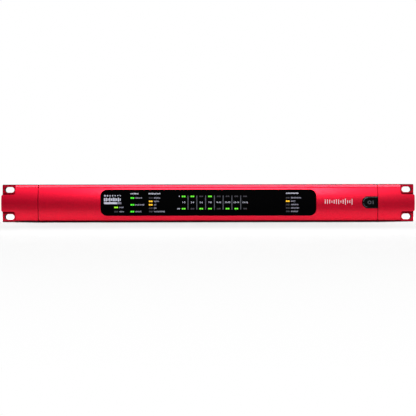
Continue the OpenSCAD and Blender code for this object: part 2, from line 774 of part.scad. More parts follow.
chassis_base();
top_cover();
rear_panel();
rack_flange_left();
rack_flange_right();
ear_left();
ear_right();
fascia_centre();
display_window();
light_mask();
front_board();
led_array();
power_button();
push_rod();
power_switch();
switch_bracket();
main_board();
board_standoffs();
board_screws();
network_board();
network_processor();
processor_heatsink();
logic_chips();
signal_transformers();
board_capacitors();
supply_a_board();
supply_b_board();
supply_a_transformer();
supply_b_transformer();
supply_a_heatsink();
supply_b_heatsink();
supply_a_capacitors();
supply_b_capacitors();
supply_insulator();
fan_frame();
fan_rotor();
fan_screws();
mains_inlet_a();
mains_inlet_b();
mains_pins();
network_socket_a();
network_socket_b();
socket_latch_a();
socket_latch_b();
word_clock_in();
word_clock_out();
multiway_socket_a();
multiway_socket_b();
jackscrews();
spdif_in();
spdif_out();
ribbon_cable();
ribbon_headers();
dc_leads();
mains_leads();
cover_screws();
bracket_screws();
front_wall_screws();
connector_screws();
earth_stud();
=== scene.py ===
"""Looks of a one-unit rack audio interface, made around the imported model.

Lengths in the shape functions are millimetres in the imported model's frame: +X is the front
viewer's right, +Y points to the rear, +Z is up. build_mesh() turns them into metres.
"""
import json
import math

import bmesh
import bpy
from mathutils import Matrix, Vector


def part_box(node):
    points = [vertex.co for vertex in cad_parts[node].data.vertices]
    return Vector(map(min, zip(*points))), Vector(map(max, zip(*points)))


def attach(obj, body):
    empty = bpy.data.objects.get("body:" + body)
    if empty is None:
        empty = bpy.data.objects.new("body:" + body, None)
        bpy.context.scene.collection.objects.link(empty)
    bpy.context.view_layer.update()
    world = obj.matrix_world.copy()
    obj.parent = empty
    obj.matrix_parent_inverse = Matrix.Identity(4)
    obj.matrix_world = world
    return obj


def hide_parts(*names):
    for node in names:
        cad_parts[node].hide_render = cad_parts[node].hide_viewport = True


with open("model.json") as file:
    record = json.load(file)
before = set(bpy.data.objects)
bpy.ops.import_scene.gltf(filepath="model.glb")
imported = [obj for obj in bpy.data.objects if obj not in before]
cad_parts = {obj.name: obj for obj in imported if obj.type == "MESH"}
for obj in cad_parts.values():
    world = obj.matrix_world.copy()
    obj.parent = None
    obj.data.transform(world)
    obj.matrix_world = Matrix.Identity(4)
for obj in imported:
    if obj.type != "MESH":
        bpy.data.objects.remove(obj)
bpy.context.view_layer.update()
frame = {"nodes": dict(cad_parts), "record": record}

MM = 0.001
NODES = frame["nodes"]


def node_box(name):
    """Lowest and highest corner of a CAD node, in millimetres."""
    low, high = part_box(name)
    return low / MM, high / MM


FASCIA_LOW, FASCIA_HIGH = node_box("fascia_centre")
WINDOW_LOW, WINDOW_HIGH = node_box("display_window")
BUTTON_LOW, BUTTON_HIGH = node_box("power_button")
EAR_LOW, EAR_HIGH = node_box("ear_right")
PANEL_X = EAR_HIGH.x
HALF_H = FASCIA_HIGH.z
FACE_Y = FASCIA_LOW.y
BACK_Y = FASCIA_HIGH.y
SPLIT_X = FASCIA_HIGH.x
EAR_X = EAR_LOW.x
FRONT_Z = (WINDOW_LOW.z + WINDOW_HIGH.z) / 2
WINDOW_Y = WINDOW_LOW.y

# Window: size, how far right of the middle it sits, and its corner radius
WINDOW_W = 251.6
WINDOW_H = 30.4
WINDOW_SHIFT = 0.5
WINDOW_R = 7.4

# Section of the red front: barrel radius, fine groove, turned lip, steep top edge, chin and hollow
BARREL_R = 60
GROOVE_Z = 18.2
GROOVE_HALF = 0.6
GROOVE_DEPTH = 0.4
LIP_TILT = 32
LIP_Z = 20.9
LIP_R = 0.35
TOP_TILT = 66
TOP_R = 0.5
CHIN_Z = 19.9
HOLLOW_Y = -7.4
HOLLOW_HALF = 16

# Heights beyond which the lips get painted shade, the colour of that painted shade, and the clear coat's
# weight elsewhere
TOP_EDGE_Z = 21.4
LOW_EDGE_Z = 21.0
PAINTED_EDGE_SHADE = (0.012, 0.002, 0.003, 1)
RED_COAT = 0.42

# Open seam between fascia and ear
SEAM_GAP = 0.7
SEAM_BEVEL = 0.3
NOTCH_HALF = 1.1

# Rack pockets in the ears, and the slots through their floors
EAR_POCKET_X = 225
EAR_POCKET_Z = 10
EAR_FLOOR_Y = -4
SLOT_X = 232.55
SLOT_Z = 15.875
SLOT_SHIFT = 0.6
SLOT_W = 11.6
SLOT_H = 6.5

# Button: round left end, straight right end
BUTTON_R = 6.75
BUTTON_X0 = 180
BUTTON_X1 = 198
BUTTON_CX = BUTTON_X0 + BUTTON_R

# Indicators: lens size, row pitch of the lists, and the meter columns
LED_W = 4.3
LED_H = 1.75
ROW_PITCH = 3.99
METER_X = -28.5
METER_PITCH = 10.27
METER_TOP = 7.3
METER_LOW = -7.1

# Thickness of everything printed
PRINT = 0.05
PRINT_Y = WINDOW_Y - PRINT

# Rear: panel face, height of the sockets' middle, and how far shells and barrels stand out
REAR_Y = node_box("rear_panel")[1].y
REAR_Z = -1
SHELL_D = 6
BARREL_D = 10


# ---------------------------------------------------------------- node helpers

def map_range(tree, value, low, high, to_low, to_high, kind="SMOOTHSTEP"):
    """A node that carries one range of a value over to another, and its output."""
    node = tree.nodes.new("ShaderNodeMapRange")
    node.interpolation_type = kind
    for socket, number in zip(("From Min", "From Max", "To Min", "To Max"), (low, high, to_low, to_high)):
        node.inputs[socket].default_value = number
    tree.links.new(value, node.inputs["Value"])
    return node.outputs["Result"]


def arithmetic(tree, operation, first, second):
    """A maths node on sockets or numbers, and its output."""
    node = tree.nodes.new("ShaderNodeMath")
    node.operation = operation
    for socket, value in zip(node.inputs, (first, second)):
        if isinstance(value, (int, float)):
            socket.default_value = value
        else:
            tree.links.new(value, socket)
    return node.outputs[0]


def product(tree, *factors):
    """Sockets or numbers multiplied together."""
    result = factors[0]
    for factor in factors[1:]:
        result = arithmetic(tree, "MULTIPLY", result, factor)
    return result


def rest_of(tree, share):
    """What a share leaves of one."""
    return arithmetic(tree, "SUBTRACT", 1, share)


# ---------------------------------------------------------------- camera and stage

# Distance from the face, how far below the middle, roll in degrees, and the width that fills the picture
CAMERA_AWAY = 1150
CAMERA_LOW = 5.8
CAMERA_ROLL = 0.09
SEEN_WIDTH = 485.3


def add_camera():
    """Straight-on view, a little below the panel's middle, as the photograph was taken."""
    data = bpy.data.cameras.new("camera")
    data.sensor_width = 36
    data.lens = data.sensor_width * CAMERA_AWAY / SEEN_WIDTH
    data.clip_end = 50
    camera = bpy.data.objects.new("camera", data)
    camera.location = (0, (FACE_Y - CAMERA_AWAY) * MM, -CAMERA_LOW * MM)
    camera.rotation_euler = (math.radians(90), math.radians(CAMERA_ROLL), 0)
    bpy.context.scene.collection.objects.link(camera)
    bpy.context.scene.camera = camera


def add_area_light(name, at, aim, size, power, glossy=True, diffuse=True):
    """A soft box of size (width, height), its face turned towards a point."""
    data = bpy.data.lights.new(name, "AREA")
    data.shape = "RECTANGLE"
    data.size, data.size_y = size
    data.energy = power
    light = bpy.data.objects.new(name, data)
    light.location = at
    light.rotation_euler = (Vector(aim) - Vector(at)).to_track_quat("-Z", "Y").to_euler()
    light.visible_camera = False
    light.visible_glossy = glossy
    light.visible_diffuse = diffuse
    bpy.context.scene.collection.objects.link(light)


def add_lights():
    """Soft boxes around the object; places and sizes are in metres."""
    add_area_light("overhead_box", (0.15, 0.05, 1.5), (0.1, 0.05, 0), (2.0, 0.8), 18, glossy=False)
    add_area_light("brow_box", (0.1, -0.55, 1.15), (0.05, 0, 0), (1.4, 0.16), 7)
    add_area_light("face_box", (0.02, -0.45, 0.29), (0.02, 0, 0), (0.38, 0.22), 1.3, diffuse=False)
    add_area_light("rear_box", (-0.3, 1.7, 0.5), (0, 0.2, 0), (1.6, 0.6), 12)
    for side in (-1, 1):
        add_area_light("side_box", (side * 1.5, 0.3, 0.45), (side * 0.22, 0.1, 0), (0.9, 0.5), 6)


# Brightness of the studio in front of the object by the sine of the height angle
STUDIO_RAMP = (
    (-0.25, 0.45), (-0.08, 0.31), (0.0, 0.33), (0.13, 0.8), (0.34, 1.4),
    (0.53, 2.2), (0.75, 1.9), (0.90, 1.0), (0.96, 0.1),
)
STUDIO_BEHIND = 0.28
STUDIO_MIDDLE = 0.04


def studio_levels(tree, height):
    """Share of the top brightness at a height, from STUDIO_RAMP, and that top brightness."""
    levels = tree.nodes.new("ShaderNodeValToRGB")
    levels.color_ramp.interpolation = "LINEAR"
    elements = levels.color_ramp.elements
    top = max(level for _, level in STUDIO_RAMP)
    for k, (sine, level) in enumerate(STUDIO_RAMP):
        stop = elements[k] if k < 2 else elements.new(1)
        stop.position = (sine + 1) / 2
        stop.color = (level / top, level / top, level / top, 1)
    tree.links.new(map_range(tree, height, -1, 1, 0, 1, "LINEAR"), levels.inputs["Fac"])
    return levels.outputs["Color"], top


def add_world():
    """White backdrop; as light, a studio dim in front of the object and to its sides, bright above."""
    world = bpy.data.worlds.new("studio")
    world.use_nodes = True
    tree = world.node_tree
    tree.nodes.clear()
    link = tree.links.new
    output = tree.nodes.new("ShaderNodeOutputWorld")
    seen = tree.nodes.new("ShaderNodeBackground")
    seen.inputs["Color"].default_value = (1, 1, 1, 1)
    lit = tree.nodes.new("ShaderNodeBackground")
    mix = tree.nodes.new("ShaderNodeMixShader")
    path = tree.nodes.new("ShaderNodeLightPath")
    place = tree.nodes.new("ShaderNodeTexCoord")
    split = tree.nodes.new("ShaderNodeSeparateXYZ")
    link(place.outputs["Generated"], split.inputs[0])
    side, depth, height = split.outputs
    levels, top = studio_levels(tree, height)
    off_centre = arithmetic(tree, "ABSOLUTE", arithmetic(tree, "SUBTRACT", side, STUDIO_MIDDLE), 0)
    low = map_range(tree, height, 0.4, 0.8, 1, 0)
    fade = product(tree, map_range(tree, off_centre, 0.05, 0.23, 0, 0.9), low)
    front = product(tree, levels, rest_of(tree, fade), top)
    behind = map_range(tree, depth, -0.05, 0.3, 0, 1)
    # one level behind the object, the ramp in front of it
    level = tree.nodes.new("ShaderNodeMix")
    link(behind, level.inputs["Factor"])
    link(front, level.inputs["A"])
    level.inputs["B"].default_value = STUDIO_BEHIND
    link(level.outputs["Result"], lit.inputs["Strength"])
    link(path.outputs["Is Camera Ray"], mix.inputs["Fac"])
    link(lit.outputs[0], mix.inputs[1])
    link(seen.outputs[0], mix.inputs[2])
    link(mix.outputs[0], output.inputs[0])
    bpy.context.scene.world = world


# Depth in metres at which the ground meets the foot of the panel's face
FACE_DEPTH = -0.012


def floor_tones(tree, side, depth):
    """The ground's brightness as the camera sees it and as it lights the object, by place in metres, painted
    shade included.
    """
    width = arithmetic(tree, "ABSOLUTE", side, 0)
    # as light: painted light brighter towards the panel, painted shadow beneath it
    near = map_range(tree, depth, -0.10, FACE_DEPTH, 0.13, 0.62)
    under = map_range(tree, depth, -0.0108, -0.0096, 1, 0.02)
    # to the camera: painted light behind the panel, painted shade around the object's middle
    around = map_range(tree, depth, -0.5, -0.3, 0, 0.13)
    dimmer = product(tree, around, map_range(tree, width, 0.12, 0.28, 1, 0))
    ground = arithmetic(tree, "SUBTRACT", map_range(tree, depth, FACE_DEPTH, 0.05, 0.64, 0.86), dimmer)
    # painted contact shadow where the panel meets the ground
    line = product(
        tree,
        map_range(tree, depth, -0.074, -0.034, 0, 0.96),
        map_range(tree, width, 0.19, 0.235, 1, 0),
        map_range(tree, depth, -0.008, -0.002, 1, 0),
    )
    return product(tree, ground, rest_of(tree, line)), product(tree, near, under)


def fade_to_backdrop(tree, shader, place, path):
    """Far ground turns into the white backdrop for the camera; gives the blended shader."""
    reach_out = tree.nodes.new("ShaderNodeVectorMath")
    reach_out.operation = "LENGTH"
    tree.links.new(place.outputs["Object"], reach_out.inputs[0])
    far = map_range(tree, reach_out.outputs["Value"], 0.42, 1.1, 0, 1)
    backdrop = tree.nodes.new("ShaderNodeEmission")
    blend = tree.nodes.new("ShaderNodeMixShader")
    tree.links.new(product(tree, far, path.outputs["Is Camera Ray"]), blend.inputs["Fac"])
    tree.links.new(shader.outputs[0], blend.inputs[1])
    tree.links.new(backdrop.outputs[0], blend.inputs[2])
    return blend


def add_floor():
    """White ground with painted shade: dimmer to reflections in front, where the studio is dark, and painted
    shadow near the panel.
    """
    reach = 8
    mesh = bpy.data.meshes.new("floor")
    corners = [(-reach, -reach), (reach, -reach), (reach, reach), (-reach, reach)]
    mesh.from_pydata([(x, y, -HALF_H * MM) for x, y in corners], [], [(0, 1, 2, 3)])
    floor = bpy.data.objects.new("floor", mesh)
    bpy.context.scene.collection.objects.link(floor)
    material = bpy.data.materials.new("floor_white_painted_shade")
    material.use_nodes = True
    tree = material.node_tree
    shader = tree.nodes["Principled BSDF"]
    shader.inputs["Roughness"].default_value = 0.9
    shader.inputs["Specular IOR Level"].default_value = 0.1
    place = tree.nodes.new("ShaderNodeTexCoord")
    split = tree.nodes.new("ShaderNodeSeparateXYZ")
    path = tree.nodes.new("ShaderNodeLightPath")
    tree.links.new(place.outputs["Object"], split.inputs[0])
    seen, reflected = floor_tones(tree, split.outputs["X"], split.outputs["Y"])
    mix = tree.nodes.new("ShaderNodeMix")
    tree.links.new(path.outputs["Is Camera Ray"], mix.inputs["Factor"])
    tree.links.new(reflected, mix.inputs["A"])
    tree.links.new(seen, mix.inputs["B"])
    tree.links.new(mix.outputs["Result"], shader.inputs["Base Color"])
    blend = fade_to_backdrop(tree, shader, place, path)
    tree.links.new(blend.outputs[0], tree.nodes["Material Output"].inputs["Surface"])
    mesh.materials.append(material)


# ---------------------------------------------------------------- materials

# Noise values between which a finish goes from its low end to its high end
NOISE_SPAN = (0.3, 0.7)


def shader_material(name, **sockets):
    """A material with one principled shader; its constant values go on the shader's own sockets."""
    material = bpy.data.materials.new(name)
    material.use_nodes = True
    shader = material.node_tree.nodes["Principled BSDF"]
    for socket, value in sockets.items():
        shader.inputs[socket.replace("_", " ")].default_value = value
    return material


def add_noise(material, size_mm, detail=3, stretch=(1, 1, 1)):
    """A noise texture whose features are about size_mm across, and its output socket."""
    tree = material.node_tree
    place = tree.nodes.new("ShaderNodeTexCoord")
    scale = tree.nodes.new("ShaderNodeMapping")
    scale.inputs["Scale"].default_value = stretch
    noise = tree.nodes.new("ShaderNodeTexNoise")
    noise.inputs["Scale"].default_value = 1 / (size_mm * MM)
    noise.inputs["Detail"].default_value = detail
    tree.links.new(place.outputs["Object"], scale.inputs["Vector"])
    tree.links.new(scale.outputs["Vector"], noise.inputs["Vector"])
    return noise.outputs["Fac"]


def vary_color(material, low, high, size_mm, detail=3, stretch=(1, 1, 1)):
    """Base colour that wanders between two close colours."""
    tree = material.node_tree
    ramp = tree.nodes.new("ShaderNodeValToRGB")
    for element, position, color in zip(ramp.color_ramp.elements, NOISE_SPAN, (low, high)):
        element.position = position
        element.color = (*color, 1)
    tree.links.new(add_noise(material, size_mm, detail, stretch), ramp.inputs["Fac"])
    tree.links.new(ramp.outputs["Color"], tree.nodes["Principled BSDF"].inputs["Base Color"])


def vary_roughness(material, low, high, size_mm, detail=3, stretch=(1, 1, 1)):
    """Roughness that wanders between two values."""
    tree = material.node_tree
    noise = add_noise(material, size_mm, detail, stretch)
    spread = map_range(tree, noise, *NOISE_SPAN, low, high, "LINEAR")
    tree.links.new(spread, tree.nodes["Principled BSDF"].inputs["Roughness"])


def add_grain(material, size_mm, height_mm, strength=1.0, detail=2, stretch=(1, 1, 1)):
    """Fine surface relief, such as bead blast or powder coat."""
    tree = material.node_tree
    bump = tree.nodes.new("ShaderNodeBump")
    bump.inputs["Strength"].default_value = strength
    bump.inputs["Distance"].default_value = height_mm * MM
    tree.links.new(add_noise(material, size_mm, detail, stretch), bump.inputs["Height"])
    tree.links.new(bump.outputs["Normal"], tree.nodes["Principled BSDF"].inputs["Normal"])


def surface(name, low, high, rough, grain, blotch=30, stretch=(1, 1, 1), **sockets):
    """A finish from its colour range, roughness range and (grain size, grain height), in mm."""
    material = shader_material(name, **sockets)
    vary_color(material, low, high, blotch, stretch=stretch)
    vary_roughness(material, *rough, blotch * 0.6, stretch=stretch)
    add_grain(material, *grain, stretch=stretch)
    return material


def glow(name, color, strength):
    """A lit indicator: colour from inside a softly mottled lens."""
    low, high = [c * 0.5 for c in color], [c * 0.7 for c in color]
    material = surface(name, low, high, (0.25, 0.4), (0.5, 0.01), blotch=1)
    shader = material.node_tree.nodes["Principled BSDF"]
    shader.inputs["Emission Color"].default_value = (*color, 1)
    shader.inputs["Emission Strength"].default_value = strength
    return material


def srgb(r, g, b):
    """Linear colour from 0-255 display values."""
    return tuple((c / 255 / 12.92) if c <= 10 else ((c / 255 + 0.055) / 1.055) ** 2.4 for c in (r, g, b))


def make_materials():
    """Every finish by name; colours are linear."""
    return {
        "red_anodised": surface(
            "red_anodised", (0.85, 0.0028, 0.033), (0.95, 0.0036, 0.039), (0.36, 0.40), (0.30, 0.008), 1.6,
            Metallic=1.0, Coat_Weight=RED_COAT, Coat_Roughness=0.2, Coat_IOR=1.5,
        ),
        "black_coat": surface(
            "black_coat", (0.011, 0.011, 0.012), (0.015, 0.015, 0.0165), (0.5, 0.56), (0.7, 0.05), 3,
            Specular_IOR_Level=0.32,
        ),
        "window_gloss": surface(
            "window_gloss", (0.0002, 0.0002, 0.0004), (0.0004, 0.0004, 0.0007), (0.05, 0.09), (9, 0.002), 40,
            Specular_IOR_Level=0.05,
        ),
        "black_gloss": surface(
            "black_gloss", (0.0003, 0.0005, 0.0007), (0.0006, 0.0009, 0.0012), (0.1, 0.16), (2, 0.002), 8,
            Specular_IOR_Level=0.16,
        ),
        "black_plastic": surface(
            "black_plastic", (0.022, 0.022, 0.024), (0.03, 0.03, 0.033), (0.4, 0.5), (0.5, 0.02), 5
        ),
        "grey_plastic": surface(
            "grey_plastic", (0.24, 0.25, 0.27), (0.30, 0.31, 0.33), (0.4, 0.55), (0.5, 0.02)
        ),
        "board_laminate": surface(
            "board_laminate", (0.008, 0.08, 0.035), (0.016, 0.13, 0.06), (0.25, 0.4), (1.4, 0.03), 6
        ),
        "bare_steel": surface(
            "bare_steel", (0.42, 0.42, 0.44), (0.56, 0.56, 0.57), (0.28, 0.42), (0.4, 0.01), 4,
            Metallic=1.0,
        ),
        "bare_aluminium": surface(
            "bare_aluminium", (0.62, 0.63, 0.65), (0.74, 0.75, 0.77), (0.3, 0.42), (0.3, 0.01), 8,
            Metallic=1.0,
        ),
        "black_aluminium": surface(
            "black_aluminium", (0.02, 0.02, 0.022), (0.035, 0.035, 0.04), (0.35, 0.5), (0.3, 0.01), 8,
            Metallic=0.8,
        ),
        "plated_brass": surface(
            "plated_brass", (0.62, 0.47, 0.2), (0.76, 0.6, 0.3), (0.25, 0.38), (0.4, 0.01), 5,
            Metallic=1.0,
        ),
        "plated_contact": surface(
            "plated_contact", (0.56, 0.56, 0.57), (0.68, 0.68, 0.68), (0.16, 0.28), (0.4, 0.006), 5,
            Metallic=1.0,
        ),
        "gold_contact": surface(
            "gold_contact", (0.78, 0.52, 0.16), (0.88, 0.62, 0.24), (0.16, 0.26), (0.4, 0.006), 5,
            Metallic=1.0,
        ),
        "capacitor_can": surface(
            "capacitor_can", (0.02, 0.025, 0.05), (0.035, 0.04, 0.07), (0.3, 0.4), (1, 0.02), 10
        ),
        "winding_tape": surface(
            "winding_tape", (0.62, 0.4, 0.04), (0.76, 0.52, 0.08), (0.25, 0.4), (1.5, 0.05), 6
        ),
        "insulator_sheet": surface(
            "insulator_sheet", (0.6, 0.56, 0.44), (0.7, 0.66, 0.54), (0.6, 0.75), (0.8, 0.04)
        ),
        "black_screw": surface(
            "black_screw", (0.02, 0.02, 0.022), (0.045, 0.045, 0.048), (0.3, 0.45), (0.3, 0.01), 2,
            Metallic=0.7,
        ),
        "wire_red": surface("wire_red", (0.42, 0.02, 0.02), (0.55, 0.04, 0.03), (0.3, 0.45), (1, 0.02), 8),
        "wire_brown": surface(
            "wire_brown", (0.14, 0.06, 0.02), (0.22, 0.09, 0.04), (0.3, 0.45), (1, 0.02), 8
        ),
        "ink_light": surface(
            "ink_light", (0.62, 0.64, 0.78), (0.72, 0.74, 0.88), (0.4, 0.55), (0.4, 0.01), 2
        ),
        "ink_grey": surface(
            "ink_grey", (0.22, 0.22, 0.29), (0.30, 0.30, 0.38), (0.4, 0.55), (0.4, 0.01), 2
        ),
        # slate ink for print, also used for the painted highlight high on the button's edge
        "ink_slate": surface(
            "ink_slate", (0.11, 0.105, 0.13), (0.15, 0.145, 0.17), (0.4, 0.55), (0.4, 0.01), 2
        ),
        # dim ink for print, also used for the painted highlight low on the button's edge
        "ink_dim": surface(
            "ink_dim", (0.055, 0.057, 0.078), (0.075, 0.078, 0.10), (0.4, 0.55), (0.4, 0.01), 2
        ),
        "label_paper": surface(
            "label_paper", (0.50, 0.51, 0.53), (0.58, 0.59, 0.61), (0.4, 0.55), (0.6, 0.01), 6
        ),
        "ink_blush": surface(
            "ink_blush", (0.88, 0.74, 0.80), (0.96, 0.82, 0.88), (0.4, 0.55), (0.4, 0.01), 2
        ),
        "lens_off": surface(
            "lens_off", (0.035, 0.033, 0.043), (0.055, 0.052, 0.066), (0.2, 0.35), (0.5, 0.01), 1
        ),
        "led_lens": surface("led_lens", (0.5, 0.55, 0.45), (0.62, 0.66, 0.56), (0.25, 0.4), (0.5, 0.01), 1),
        "lens_lime": glow("lens_lime", srgb(150, 235, 36), 0.85),
        "lens_green": glow("lens_green", srgb(68, 232, 38), 0.85),
        "lens_meter": glow("lens_meter", srgb(98, 228, 46), 0.85),
        "lens_amber": glow("lens_amber", srgb(255, 192, 30), 0.85),
    }


def paint_lip_and_pocket_shade(material):
    """Painted shade on the top and bottom lips' thin edges, and painted shadow in the rack pockets where
    walls meet the floor.
    """
    tree = material.node_tree
    shader = tree.nodes["Principled BSDF"]
    place = tree.nodes.new("ShaderNodeTexCoord")
    at = tree.nodes.new("ShaderNodeSeparateXYZ")
    tree.links.new(place.outputs["Object"], at.inputs[0])
    facing = tree.nodes.new("ShaderNodeSeparateXYZ")
    tree.links.new(place.outputs["Normal"], facing.inputs[0])
    x, y, z = at.outputs
    height = arithmetic(tree, "ABSOLUTE", z, 0)
    reach = arithmetic(tree, "ABSOLUTE", x, 0)

    def share(value, low, high, to_low, to_high):
        return map_range(tree, value, low * MM, high * MM, to_low, to_high)

    # painted shade on the lips, but not on the surface that faces straight up
    top = share(z, TOP_EDGE_Z, TOP_EDGE_Z + 0.2, 0, 0.95)
    bottom = share(z, -(LOW_EDGE_Z + 0.3), -LOW_EDGE_Z, 0.97, 0)
    level = map_range(tree, facing.outputs["Z"], 0.93, 0.99, 1, 0)
    lips = product(tree, arithmetic(tree, "MAXIMUM", top, bottom), level)
    # painted shadow on the pocket floors, darkest beside the tip and the block
    beside_tip = share(height, EAR_POCKET_Z + 0.8, EAR_POCKET_Z + 3.2, 0.8, 0)
    beside_block = share(reach, EAR_POCKET_X + 0.2, EAR_POCKET_X + 1.9, 0.8, 0)
    pocket = product(
        tree,
        arithmetic(tree, "MAXIMUM", beside_tip, beside_block),
        share(reach, EAR_POCKET_X - 0.6, EAR_POCKET_X - 0.2, 0, 1),
        share(y, EAR_FLOOR_Y - 0.6, EAR_FLOOR_Y - 0.2, 0, 1),
        share(height, EAR_POCKET_Z - 0.3, EAR_POCKET_Z, 0, 1),
    )
    shade = arithmetic(tree, "MAXIMUM", lips, pocket)
    # the painted shade and shadow replace the base colour and take off the coat
    mix = tree.nodes.new("ShaderNodeMix")
    mix.data_type = "RGBA"
    base = shader.inputs["Base Color"]
    tree.links.new(base.links[0].from_socket, mix.inputs["A"])
    mix.inputs["B"].default_value = PAINTED_EDGE_SHADE
    tree.links.new(shade, mix.inputs["Factor"])
    tree.links.new(mix.outputs["Result"], base)
    tree.links.new(product(tree, rest_of(tree, shade), RED_COAT), shader.inputs["Coat Weight"])


MATERIALS = make_materials()
# painted shade and painted shadow go into the red finish
paint_lip_and_pocket_shade(MATERIALS["red_anodised"])


# ---------------------------------------------------------------- mesh helpers

def build_mesh(name, verts, faces, material, body="case", slot=None):
    """A piece from points in millimetres and faces, on a body, with its finish."""
    mesh = bpy.data.meshes.new(name)
    mesh.from_pydata([Vector(v) * MM for v in verts], [], faces)
    mesh.materials.append(MATERIALS[material])
    piece = bpy.data.objects.new(name, mesh)
    bpy.context.scene.collection.objects.link(piece)
    mend_normals(piece)
    if body:
        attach(piece, body)
    return piece


def mend_normals(piece):
    """Turns every face outwards."""
    work = bmesh.new()
    work.from_mesh(piece.data)
    bmesh.ops.recalc_face_normals(work, faces=work.faces)
    work.to_mesh(piece.data)
    work.free()


def arc(cx, cz, r, start, end, steps):
    """Points on a circle from one angle to another, in degrees."""
    turn = (end - start) / steps
    return [
        (cx + r * math.cos(math.radians(start + turn * k)), cz + r * math.sin(math.radians(start + turn * k)))
        for k in range(steps + 1)
    ]


def round_rect(cx, cz, w, h, r, steps=8):
    """A rectangle's outline with round corners, anticlockwise."""
    points = []
    for quarter, (sx, sz) in enumerate(((1, 1), (-1, 1), (-1, -1), (1, -1))):
        points += arc(cx + sx * (w / 2 - r), cz + sz * (h / 2 - r), r, 90 * quarter, 90 * quarter + 90, steps)
    return points


def loft(rings):
    """Vertices and faces of a closed solid through rings of equal length, flat at both ends."""
    count = len(rings[0])
    verts = [point for ring in rings for point in ring]
    faces = [tuple(range(count)), tuple(range(len(verts) - count, len(verts)))]
    for level in range(len(rings) - 1):
        low = level * count
        for k in range(count):
            after = (k + 1) % count
            faces.append((low + k, low + after, low + count + after, low + count + k))
    return verts, faces


def prism(outline, y0, y1):
    """An outline in X and Z, made solid from y0 back to y1."""
    return loft([[(x, y, z) for x, z in outline] for y in (y0, y1)])


def ring(cx, cz, outer, inner, y0, y1, steps=32):
    """A flat-ended tube along Y."""
    circles = [arc(cx, cz, r, 0, 360 - 360 / steps, steps - 1) for r in (outer, inner)]
    verts = [(x, y, z) for y in (y0, y1) for circle in circles for x, z in circle]
    faces = []
    for k in range(steps):
        after = (k + 1) % steps
        for one, other in ((0, 1), (1, 3), (3, 2), (2, 0)):
            faces.append((one * steps + k, one * steps + after, other * steps + after, other * steps + k))
    return verts, faces


def merge(parts):
    """Several (vertices, faces) solids as one."""
    verts, faces = [], []
    for part_verts, part_faces in parts:
        faces += [tuple(i + len(verts) for i in face) for face in part_faces]
        verts += part_verts
    return verts, faces


def apply_modifiers(piece):
    """Replaces a piece's mesh by the one its modifiers give."""
    graph = bpy.context.evaluated_depsgraph_get()
    mesh = bpy.data.meshes.new_from_object(piece.evaluated_get(graph))
    piece.modifiers.clear()
    old = piece.data
    piece.data = mesh
    bpy.data.meshes.remove(old)


def carve(piece, solid, operation="DIFFERENCE"):
    """Cuts, joins or intersects a piece with a solid given as (vertices, faces)."""
    finish = next(name for name, made in MATERIALS.items() if made == piece.data.materials[0])
    tool = build_mesh("tool", *solid, finish, body=None)
    change = piece.modifiers.new("carve", "BOOLEAN")
    change.operation = operation
    change.object = tool
    change.solver = "EXACT"
    apply_modifiers(piece)
    bpy.data.objects.remove(tool)


def bevel_edges(piece, widest, rule, segments=3, sharp=25):
    """Rounds sharp edges; rule(middle point) gives each one's bevel in millimetres."""
    work = bmesh.new()
    work.from_mesh(piece.data)
    bmesh.ops.remove_doubles(work, verts=work.verts, dist=0.002 * MM)
    bmesh.ops.dissolve_degenerate(work, edges=work.edges, dist=0.002 * MM)
    layer = work.edges.layers.float.new("bevel_weight_edge")
    for edge in work.edges:
        if len(edge.link_faces) != 2 or edge.calc_face_angle(0) < math.radians(sharp):
            continue
        middle = (edge.verts[0].co + edge.verts[1].co) / 2 / MM
        edge[layer] = rule(middle) / widest
    work.to_mesh(piece.data)
    work.free()
    bevel = piece.modifiers.new("bevel", "BEVEL")
    bevel.limit_method = "WEIGHT"
    bevel.width = widest * MM
    bevel.segments = segments
    bevel.harden_normals = False
    bevel.use_clamp_overlap = True
    apply_modifiers(piece)


def smooth(piece, sharp=30):
    """Smooth shading with sharp edges kept."""
    mesh = piece.data
    mesh.shade_smooth()
    mesh.set_sharp_from_angle(angle=math.radians(sharp))
    weigh = piece.modifiers.new("weigh", "WEIGHTED_NORMAL")
    weigh.keep_sharp = True
    weigh.weight = 60


# ---------------------------------------------------------------- front panel

def face_y(z):
    """Front surface of the barrel-curved face at a height."""
    return FACE_Y + BARREL_R - math.sqrt(BARREL_R * BARREL_R - z * z)


